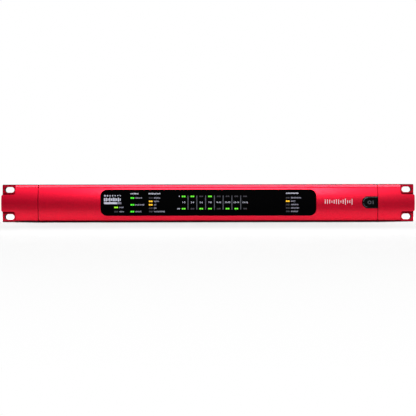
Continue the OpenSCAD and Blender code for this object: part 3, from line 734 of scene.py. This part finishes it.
def front_profile(hollow):
    """Section in Y and Z shared by the fascia and the ears; the fascia is hollow behind."""
    groove_steps = 8
    upper = []
    for k in range(groove_steps + 1):
        offset = -GROOVE_HALF + 2 * GROOVE_HALF * k / groove_steps
        dip = GROOVE_DEPTH * math.cos(math.pi / 2 * offset / GROOVE_HALF) ** 2
        upper.append((face_y(GROOVE_Z + offset) + dip, GROOVE_Z + offset))
    # lip, then the steep edge up to the top
    lip, top = math.radians(LIP_TILT), math.radians(TOP_TILT)
    y, z = upper[-1]
    lip_y = y + (LIP_Z - z) * math.tan(lip) + LIP_R * math.cos(lip)
    upper += arc(lip_y, LIP_Z - LIP_R * math.sin(lip), LIP_R, 180 - LIP_TILT, 180 - TOP_TILT, 5)
    y, z = upper[-1]
    top_y = y + (HALF_H - TOP_R + TOP_R * math.sin(top) - z) * math.tan(top) + TOP_R * math.cos(top)
    upper += arc(top_y, HALF_H - TOP_R, TOP_R, 180 - TOP_TILT, 90, 4)
    upper.append((BACK_Y, HALF_H))
    # chin: one arc that leaves the face smoothly and ends level at the base
    slope = math.degrees(math.asin(CHIN_Z / BARREL_R))
    chin_r = (HALF_H - CHIN_Z) / (1 - CHIN_Z / BARREL_R)
    chin_y = face_y(CHIN_Z) + chin_r * math.cos(math.radians(slope))
    lower = [(BACK_Y, -HALF_H)] + arc(chin_y, chin_r - HALF_H, chin_r, 270, 180 + slope, 12)
    reach = GROOVE_Z - GROOVE_HALF + CHIN_Z
    face_steps = 46
    heights = [reach * k / face_steps - CHIN_Z for k in range(1, face_steps)]
    face = [(face_y(height), height) for height in heights]
    back = []
    if hollow:
        back = [(BACK_Y, HOLLOW_HALF), (HOLLOW_Y, HOLLOW_HALF)]
        back += [(HOLLOW_Y, -HOLLOW_HALF), (BACK_Y, -HOLLOW_HALF)]
    return lower + face + upper + back


def extruded_front(name, x0, x1, hollow):
    """The front's section drawn out from x0 to x1."""
    profile = front_profile(hollow)
    verts, faces = loft([[(x, y, z) for y, z in profile] for x in (x0, x1)])
    return build_mesh(name, verts, faces, "red_anodised", slot="red_anodised")


def button_outline(grow, right):
    """Round at the left, straight at the right."""
    r = BUTTON_R + grow
    return arc(BUTTON_CX, FRONT_Z, r, 90, 270, 32) + [(right, FRONT_Z - r), (right, FRONT_Z + r)]


def cut_seam(piece, side):
    """Opens the joint between fascia and ear, and notches it at both lips."""
    x = side * (SPLIT_X + EAR_X) / 2
    half = SEAM_GAP / 2
    through = (FACE_Y - 2, BACK_Y + 1)
    carve(piece, prism([(x - half, 30), (x + half, 30), (x + half, -30), (x - half, -30)], *through))
    for end in (-1, 1):
        notch = [(x - NOTCH_HALF, end * 22.2), (x + NOTCH_HALF, end * 22.2), (x, end * 18.4)]
        carve(piece, prism(notch if end > 0 else notch[::-1], *through))


def make_fascia():
    """Middle of the red front, open for the window and the button."""
    piece = extruded_front("fascia", -SPLIT_X, SPLIT_X, hollow=True)
    opening = round_rect(WINDOW_SHIFT, FRONT_Z, WINDOW_W + 0.4, WINDOW_H + 0.4, WINDOW_R + 0.2, 12)
    carve(piece, prism(opening, FACE_Y - 2, -5))
    carve(piece, prism(button_outline(0.3, SPLIT_X + 2), FACE_Y - 2, -5))
    for side in (-1, 1):
        cut_seam(piece, side)

    def rule(at):
        if abs(at.x) < WINDOW_W / 2 + 2 and abs(at.z - FRONT_Z) < 16 and at.y < -8.5:
            return 0.9
        if at.x > BUTTON_X0 - 1 and abs(at.z - FRONT_Z) < BUTTON_R + 0.5:
            return 0.35 if at.y < -8 else 0
        if abs(at.x) > SPLIT_X - NOTCH_HALF and at.y < BACK_Y - 0.01:
            return SEAM_BEVEL
        return 0.0

    bevel_edges(piece, 0.9, rule)
    smooth(piece)
    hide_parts("fascia_centre")


def ear_outline(front_x):
    """Raised part of the right ear: full height, then only the middle tip between the pockets."""
    tip_r = 2
    pocket_r = 3
    upper = [(front_x, HALF_H + 1), (EAR_POCKET_X, HALF_H + 1)]
    upper += arc(EAR_POCKET_X + pocket_r, EAR_POCKET_Z + pocket_r, pocket_r, 180, 270, 8)
    upper += arc(PANEL_X - tip_r, EAR_POCKET_Z - tip_r, tip_r, 90, 0, 8)
    return upper + [(x, -z) for x, z in reversed(upper)]


def mirrored(name, piece):
    """A left-hand copy of a right-hand piece."""
    mesh = piece.data.copy()
    for vertex in mesh.vertices:
        vertex.co.x = -vertex.co.x
    mesh.flip_normals()
    copy = bpy.data.objects.new(name, mesh)
    bpy.context.scene.collection.objects.link(copy)
    return copy


def make_ears():
    """Red end blocks with their rack pockets and slots; the left one mirrors the right."""
    piece = extruded_front("ear_block_right", EAR_X, PANEL_X + 1, hollow=False)
    carve(piece, prism(ear_outline(EAR_X - 5), FACE_Y - 2, BACK_Y + 1), "INTERSECT")
    cut_seam(piece, 1)
    floor = round_rect((EAR_POCKET_X - 1 + PANEL_X) / 2, 0, PANEL_X - EAR_POCKET_X + 1, 2 * HALF_H, 1.2, 6)
    carve(piece, prism(floor, EAR_FLOOR_Y, BACK_Y), "UNION")
    for side in (-1, 1):
        slot = round_rect(SLOT_X + SLOT_SHIFT, side * SLOT_Z, SLOT_W, SLOT_H, SLOT_H / 2 - 0.001, 10)
        carve(piece, prism(slot, FACE_Y - 2, BACK_Y + 1))

    def rule(at):
        if at.x < EAR_X + NOTCH_HALF:
            return SEAM_BEVEL if at.y < BACK_Y - 0.01 else 0
        if abs(abs(at.z) - SLOT_Z) < SLOT_H / 2 + 0.1 and abs(at.x - SLOT_X) < SLOT_W / 2 + 0.1:
            return 0.2 if at.y < EAR_FLOOR_Y + 0.01 else 0
        if at.y > BACK_Y - 0.01:
            return 0
        if at.y < -8:
            return 0.5
        return 0.25

    bevel_edges(piece, 0.6, rule)
    left = mirrored("ear_block_left", piece)
    for side, ear in (("right", piece), ("left", left)):
        smooth(ear)
        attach(ear, "case")
        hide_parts(f"ear_{side}")


# ---------------------------------------------------------------- display

def make_window():
    """Gloss black window with a softened edge."""
    edge = 0.25
    rings = []
    for inset, y in ((edge, WINDOW_Y), (0.08, WINDOW_Y + 0.08), (0, WINDOW_Y + edge), (0, WINDOW_HIGH.y)):
        w, h = WINDOW_W - 2 * inset, WINDOW_H - 2 * inset
        rings.append([(x, y, z) for x, z in round_rect(WINDOW_SHIFT, FRONT_Z, w, h, WINDOW_R - inset, 12)])
    piece = build_mesh("window", *loft(rings), "window_gloss", slot="window_gloss")
    smooth(piece)
    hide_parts("display_window")


def tile(x0, z0, x1, z1, r=0.2, y=None):
    """A thin printed patch with round corners on the window's front."""
    front = PRINT_Y if y is None else y
    return prism(round_rect((x0 + x1) / 2, (z0 + z1) / 2, x1 - x0, z1 - z0, r, 3), front, front + PRINT)


def disc(cx, cz, r, steps=20):
    """A printed dot on the window's front."""
    return prism(arc(cx, cz, r, 0, 360 - 360 / steps, steps - 1), PRINT_Y, PRINT_Y + PRINT)


def marks(x0, x1, z, height, seed, y=None):
    """A row of small upright blocks with uneven widths: a stand-in for a printed label."""
    parts = []
    gap = 0.3
    x = x0
    k = seed
    while x < x1 - gap:
        width = min(0.55 + 0.22 * ((k * 7) % 3), x1 - x)
        drop = 0.16 * height * ((k * 5) % 3 == 0)
        rise = 0.16 * height * ((k * 3) % 4 == 1)
        parts.append(tile(x, z - height / 2 + drop, x + width, z + height / 2 - rise, 0.12, y))
        x += width + gap
        k += 1
    return parts


# Font size over digit height
FONT_SIZE = 1.42


def number_mesh(text, cx, cz, height):
    """Plain digits, centred on a point of the window's front."""
    curve = bpy.data.curves.new("digits", "FONT")
    curve.body = text
    curve.size = height * FONT_SIZE * MM
    curve.align_x = "CENTER"
    curve.align_y = "CENTER"
    curve.extrude = PRINT / 2 * MM
    curve.offset = 0.05 * MM
    curve.resolution_u = 3
    holder = bpy.data.objects.new("digits", curve)
    bpy.context.scene.collection.objects.link(holder)
    graph = bpy.context.evaluated_depsgraph_get()
    mesh = bpy.data.meshes.new_from_object(holder.evaluated_get(graph))
    verts = [(v.co.x / MM + cx, PRINT_Y + PRINT / 2 - v.co.z / MM, v.co.y / MM + cz) for v in mesh.vertices]
    faces = [tuple(p.vertices) for p in mesh.polygons]
    bpy.data.objects.remove(holder)
    bpy.data.meshes.remove(mesh)
    return verts, faces


def row_z(n):
    """Height of a list's row, counted from the top."""
    return FRONT_Z + 5.55 - ROW_PITCH * n


def meter_x(n):
    """Middle of a meter column; halves lie on the lines between columns."""
    return METER_X + n * METER_PITCH


def lens(cx, cz):
    """One indicator: two small lenses side by side."""
    gap = 0.3
    parts = []
    for side in (-1, 1):
        inner = side * gap / 2
        outer = side * LED_W / 2
        x0, x1 = sorted((cx + inner, cx + outer))
        parts.append(tile(x0, cz - LED_H / 2, x1, cz + LED_H / 2, 0.45))
    return parts


# Columns of indicators left and right of the meters, and the left column's two heights
STATE_X = -107.5
STATE_ROWS = (-5.5, -10.4)
POWER_X = -88.5
RATE_X = -67
SOURCE_X = 93.3


def indicator_plan():
    """Every indicator as (x, z, finish)."""
    plan = [(STATE_X, FRONT_Z + z, finish) for z, finish in zip(STATE_ROWS, ("lens_lime", "lens_off"))]
    plan += [(POWER_X, row_z(n), "lens_green") for n in (0, 2, 4)]
    rate_lit = (1, 2)
    plan += [(RATE_X, row_z(n), "lens_amber" if n in rate_lit else "lens_off") for n in range(5)]
    meter_lit = {METER_TOP: (0, 1, 3), METER_LOW: (0, 2, 3, 5, 6)}
    for z, lit in meter_lit.items():
        plan += [(meter_x(n), FRONT_Z + z, "lens_meter" if n in lit else "lens_off") for n in range(8)]
    plan += [(SOURCE_X, row_z(n), "lens_amber" if n == 1 else "lens_off") for n in range(5)]
    return plan


def make_indicators():
    """The lenses, one piece for each finish."""
    groups = {}
    for x, z, finish in indicator_plan():
        groups.setdefault(finish, []).extend(lens(x, z))
    for finish, parts in groups.items():
        build_mesh(f"{finish}_group", *merge(parts), finish, slot="led_lens")


def make_legends():
    """Marks printed in the window: headings, row labels, channel numbers and column lines."""
    bright, grey, dim, numbers = [], [], [], []
    # headings over three groups
    for k, (x0, x1, z) in enumerate(((-90.8, -81.0, 10.5), (-69.4, -55.2, 10.5), (91.2, 106.0, 10.8))):
        bright += marks(x0, x1, FRONT_Z + z, 1.6, k)
    # row labels beside the indicators, each to its own length
    label = 1.7
    for n, x1 in zip((0, 2, 4), (-77.1, -74.4, -77.9)):
        grey += marks(-85.2, x1, row_z(n), label, n + 3)
    for n, x1 in enumerate((-56, -57.4, -60.5, -60.5, -50.2)):
        grey += marks(-63.2, x1, row_z(n), label, n + 5)
    for n, x1 in enumerate((108.7, 102.2, 105.8, 106.9, 105.2)):
        grey += marks(97.1, x1, row_z(n), label, n + 1)
    for k, z in enumerate(STATE_ROWS):
        grey += marks(-103.8, -98.3, FRONT_Z + z, label, k + 2)
    # meter row labels
    bright += marks(-34.0, -32.8, FRONT_Z + METER_TOP, 1.5, 1)
    bright += marks(-35.9, -32.9, FRONT_Z + METER_LOW, 1.5, 2)
    # channel pair numbers and the lines between meters
    for n in range(8):
        numbers.append(number_mesh(f"{2 * n + 1}-{2 * n + 2}", meter_x(n), FRONT_Z + 0.2, 2.0))
    for n in range(7):
        x = meter_x(n + 0.5)
        dim.append(tile(x - 0.55, FRONT_Z - 8.2, x + 0.55, FRONT_Z + 8.3, 0.3))
    build_mesh("legend_bright", *merge(bright), "ink_light", slot="grey_plastic")
    build_mesh("legend_grey", *merge(grey), "ink_grey", slot="grey_plastic")
    build_mesh("legend_numbers", *merge(numbers), "ink_light", slot="grey_plastic")
    build_mesh("legend_lines", *merge(dim), "ink_dim", slot="grey_plastic")


def make_window_emblem():
    """A plain pattern in the window's corner: dots, a sound wave in bars, and a divided line."""
    x0, x1 = -121.7, -101.4
    split_x, low, high = -106.4, FRONT_Z - 1.6, FRONT_Z + 0.7
    light = []
    dots = 7
    for k in range(dots):
        cx = x0 + 1.1 + (x1 - x0 - 2.2) * k / (dots - 1)
        light.append(disc(cx, FRONT_Z + 8.25, 1.0 - 0.06 * k))
    bars = 10
    pitch = (x1 - x0) / bars
    for k in range(bars):
        height = 4.5 * (0.45 + 0.55 * abs(math.sin(0.9 + k * 1.27)))
        x = x0 + k * pitch
        light.append(tile(x, FRONT_Z + 3.7 - height / 2, x + pitch - 0.62, FRONT_Z + 3.7 + height / 2, 0.3))
    light.append(tile(x0, low, split_x, high, 0.2))
    build_mesh("emblem_light", *merge(light), "ink_light", slot="grey_plastic")
    build_mesh("emblem_shade", *tile(split_x, low, x1, high, 0.2), "ink_grey", slot="grey_plastic")


def make_face_emblem():
    """A generic sound wave in upright bars, printed on the curved face left of the button."""
    x0, x1 = 136.4, 170.3
    bars = 13
    thick = 0.8
    pitch = (x1 - x0) / bars
    parts = []
    for k in range(bars):
        height = 7.2 * (0.3 + 0.7 * abs(math.sin(0.6 + k * 0.83)) * (0.75 + 0.25 * math.cos(k * 2.1)))
        x = x0 + k * pitch
        rings = []
        for step in range(5):
            z = FRONT_Z + 0.8 - height / 2 + height * step / 4
            front, back = face_y(z) - PRINT, face_y(z) + 0.02
            rings.append([(x, front, z), (x + thick, front, z), (x + thick, back, z), (x, back, z)])
        parts.append(loft(rings))
    build_mesh("emblem_face", *merge(parts), "ink_blush", slot="grey_plastic")


# ---------------------------------------------------------------- power button

def make_button():
    """Gloss cap with a soft edge, the flange that keeps it in, its printed ring and bar, and a painted
    highlight round its left end.
    """
    front = BUTTON_LOW.y
    rings = []
    steps = (
        (0.0, BUTTON_HIGH.y - 0.9), (0.0, front + 1.0), (-0.12, front + 0.62),
        (-0.9, front + 0.06), (-1.05, front),
    )
    for grow, y in steps:
        rings.append([(x, y, z) for x, z in button_outline(grow, BUTTON_X1 + min(0, grow) * 0.3)])
    piece = build_mesh("button_cap", *loft(rings), "black_gloss", body="power_key", slot="black_gloss")
    flange = round_rect(189.5, FRONT_Z, 16, 17.5, 3, 6)
    carve(piece, prism(flange, -7.1, BUTTON_HIGH.y), "UNION")
    smooth(piece, 24)
    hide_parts("power_button")
    # body and slot for the printed mark and for the painted highlight on the edge
    printed = {"body": "power_key", "slot": "grey_plastic"}
    ring_x, ring_r = 188.3, 2.1
    bar_x = 192.6
    stroke = 0.62
    circle = ring(ring_x, FRONT_Z, ring_r, ring_r - stroke, front - PRINT, front, 36)
    bar = prism(round_rect(bar_x, FRONT_Z, stroke, 2 * ring_r, 0.25, 4), front - PRINT, front)
    build_mesh("button_mark", *merge([circle, bar]), "ink_slate", **printed)
    # painted highlight round the left end, where light catches the cap's rounded edge, brighter above
    outer, inner = BUTTON_R - 1.0, BUTTON_R - 1.5
    for name, start, end, finish in (("upper", 92, 172, "ink_slate"), ("lower", 190, 262, "ink_dim")):
        band = arc(BUTTON_CX, FRONT_Z, outer, start, end, 20) + arc(BUTTON_CX, FRONT_Z, inner, end, start, 20)
        build_mesh(f"button_painted_highlight_{name}", *prism(band, front - PRINT, front + 0.05), finish, **printed)


# ---------------------------------------------------------------- rear panel

def centre_x(name):
    """Middle of a CAD node across the object."""
    low, high = node_box(name)
    return (low.x + high.x) / 2


def d_outline(cx, w, h, slope):
    """A multi-pin connector's outline: wider at the top."""
    return [
        (cx - w / 2 + slope, REAR_Z - h / 2), (cx + w / 2 - slope, REAR_Z - h / 2),
        (cx + w / 2, REAR_Z + h / 2), (cx - w / 2, REAR_Z + h / 2),
    ]


def make_multiway_contacts():
    """A dark insert and 25 sockets in two rows in each multi-pin connector."""
    inserts, contacts = [], []
    pitch, row_off = 2.77, 1.42
    face = REAR_Y + SHELL_D - 0.3
    for tag in "ab":
        cx = centre_x(f"multiway_socket_{tag}")
        inserts.append(prism(d_outline(cx, 37.3, 6.7, 1), face - 0.2, face))
        for side, count in ((1, 13), (-1, 12)):
            for k in range(count):
                x = cx + (k - (count - 1) / 2) * pitch
                contacts.append(ring(x, REAR_Z + side * row_off, 0.8, 0.42, face - 0.05, face + 0.06, 12))
    build_mesh("multiway_inserts", *merge(inserts), "black_plastic", slot="black_plastic")
    build_mesh("multiway_contacts", *merge(contacts), "gold_contact", slot="gold_contact")


def make_network_contacts():
    """Eight sprung wires along the roof of each network port."""
    pitch = 1.02
    bends = ((-18.8, 3.2), (-11.0, 1.7), (-9.4, 2.6))
    section = ((-0.2, 0), (0.2, 0), (0.2, 0.3), (-0.2, 0.3))
    wires = []
    for tag in "ab":
        cx = centre_x(f"network_socket_{tag}")
        for k in range(8):
            x = cx + (k - 3.5) * pitch
            wires.append(loft([[(x + dx, REAR_Y + y, z + dz) for dx, dz in section] for y, z in bends]))
    build_mesh("network_contacts", *merge(wires), "gold_contact", slot="gold_contact")


def make_round_sockets():
    """Insulators and centre contacts of the coaxial sockets."""
    pale, dark, gold = [], [], []
    for name in ("word_clock_in", "word_clock_out"):
        cx = centre_x(name)
        pale.append(ring(cx, REAR_Z, 2.5, 0.75, REAR_Y + 3.2, REAR_Y + 9.7))
        gold.append(prism(arc(cx, REAR_Z, 0.68, 0, 345, 23), REAR_Y + 6, REAR_Y + 12.1))
    for name in ("spdif_in", "spdif_out"):
        cx = centre_x(name)
        dark.append(ring(cx, REAR_Z, 3.5, 1.95, REAR_Y + BARREL_D - 0.2, REAR_Y + BARREL_D + 0.06))
    build_mesh("clock_insulators", *merge(pale), "insulator_sheet", slot="insulator_sheet")
    build_mesh("clock_contacts", *merge(gold), "gold_contact", slot="gold_contact")
    build_mesh("spdif_insulators", *merge(dark), "black_plastic", slot="black_plastic")


def make_rear_legends():
    """Plain printed bars that stand for the words over the sockets, and a rating label of plain lines."""
    half_lengths = {
        "mains_inlet": 13, "network_socket": 9, "word_clock": 5.5, "multiway_socket": 15, "spdif": 5.5,
    }
    high_row = ("mains_inlet_a", "mains_inlet_b", "network_socket_a", "network_socket_b")
    low_row = (
        "word_clock_in", "word_clock_out", "multiway_socket_a", "multiway_socket_b", "spdif_in", "spdif_out",
    )
    high_z, low_z, line_z = 17.9, 10.6, 13.2
    bars = []
    for z, row in ((high_z, high_row), (low_z, low_row)):
        for k, name in enumerate(row):
            cx = centre_x(name)
            half = half_lengths[name.rsplit("_", 1)[0]]
            bars += marks(cx - half, cx + half, z, 1.7, k, REAR_Y)
    # a line over each pair
    for first, last in zip(low_row[::2], low_row[1::2]):
        x0, x1 = sorted((centre_x(first), centre_x(last)))
        bars.append(tile(x0, line_z, x1, line_z + 0.4, 0.1, REAR_Y))
    build_mesh("rear_legend", *merge(bars), "ink_light", slot="grey_plastic")
    x0, x1, z0, z1 = -211, -175, -10, 9
    build_mesh("rating_label", *tile(x0, z0, x1, z1, 1.2, REAR_Y), "label_paper", slot="grey_plastic")
    lines = []
    for k, short in enumerate((2.2, 9, 5, 14, 7, 3)):
        height = 1.1 if k else 1.9
        lines += marks(x0 + 2.2, x1 - short, z1 - 2.4 - 2.7 * k, height, k, REAR_Y + PRINT)
    build_mesh("rating_lines", *merge(lines), "ink_slate", slot="grey_plastic")


# ---------------------------------------------------------------- carried-over CAD nodes

def dress(name, material, bevel=0.0, sharp=30):
    """Gives a CAD node its finish and softened edges, leaving its shape alone."""
    node = NODES[name]
    node.data.materials.clear()
    node.data.materials.append(MATERIALS[material])
    weld = node.modifiers.new("weld", "WELD")
    weld.merge_threshold = 0.001 * MM
    if bevel:
        flat = node.modifiers.new("flat", "DECIMATE")
        flat.decimate_type = "DISSOLVE"
        flat.angle_limit = math.radians(0.5)
        soften = node.modifiers.new("soften", "BEVEL")
        soften.width = bevel * MM
        soften.segments = 2
        soften.limit_method = "ANGLE"
        soften.angle_limit = math.radians(50)
    node.data.shade_smooth()
    smooth_by_angle(node, sharp)


def smooth_by_angle(node, sharp):
    """Smooth shading that leaves the CAD mesh as it is: sharp edges are split by a modifier."""
    split = node.modifiers.new("split", "EDGE_SPLIT")
    split.split_angle = math.radians(sharp)
    split.use_edge_sharp = False
    node.modifiers.new("even", "WEIGHTED_NORMAL")


def dress_nodes():
    """Finishes for the CAD nodes that stay in view, with a small bevel on the sheet metal and sockets."""
    slots = {s["node"]: s["material_slot"] for s in frame["record"]["subparts"]}
    softened = {
        "chassis_base": 0.3, "top_cover": 0.3, "rear_panel": 0.15,
        "rack_flange_left": 0.3, "rack_flange_right": 0.3,
        "mains_inlet_a": 0.3, "mains_inlet_b": 0.3, "network_socket_a": 0.25, "network_socket_b": 0.25,
        "socket_latch_a": 0.3, "socket_latch_b": 0.3, "multiway_socket_a": 0.2, "multiway_socket_b": 0.2,
    }
    for name, node in NODES.items():
        if not node.hide_render:
            dress(name, slots[name], softened.get(name, 0.0))


# ---------------------------------------------------------------- the whole scene

add_camera()
add_world()
add_lights()
add_floor()
make_fascia()
make_ears()
make_window()
make_indicators()
make_legends()
make_window_emblem()
make_face_emblem()
make_button()
make_multiway_contacts()
make_network_contacts()
make_round_sockets()
make_rear_legends()
dress_nodes()
bpy.context.scene.view_settings.view_transform = "Standard"
